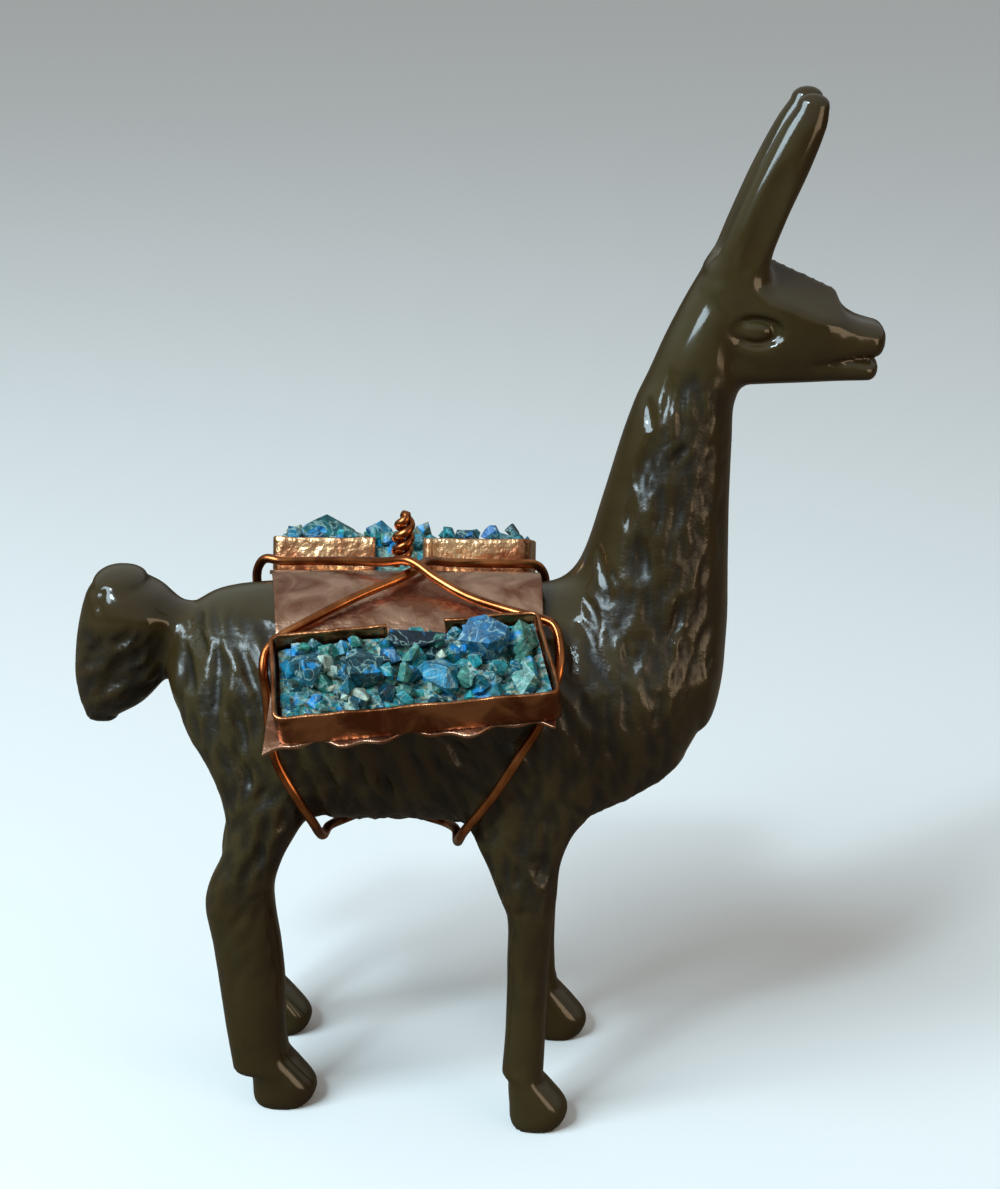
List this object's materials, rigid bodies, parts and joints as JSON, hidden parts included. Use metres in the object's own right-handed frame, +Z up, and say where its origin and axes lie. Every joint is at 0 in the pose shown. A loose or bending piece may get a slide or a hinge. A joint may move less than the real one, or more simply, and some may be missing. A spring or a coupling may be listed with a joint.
{
  "type": "llama figurine",
  "caption": "Carved and polished stone llama standing on its feet, with a copper saddle, two trays heaped with stone chips, and copper binding wire.",
  "frame": {"origin": "under the middle of the figure's box, on the surface that its feet stand on", "axes": "+X towards the head, +Y towards the llama's left flank, +Z up"},
  "size_m": [0.0948, 0.0524, 0.1233],
  "materials": {
    "dark_stone": "polished",
    "copper_sheet": "hammered, lightly tarnished",
    "copper_wire": "bright",
    "blue_chips": "rough broken stone"
  },
  "bodies": {
    "root": {"llama": "dark_stone", "saddle_sheet": "copper_sheet", "near_tray": "copper_sheet", "far_tray": "copper_sheet", "near_chips": "blue_chips", "far_chips": "blue_chips", "binding_wire_1": "copper_wire", "binding_wire_2": "copper_wire", "wire_twist": "copper_wire"}
  },
  "joints": []
}
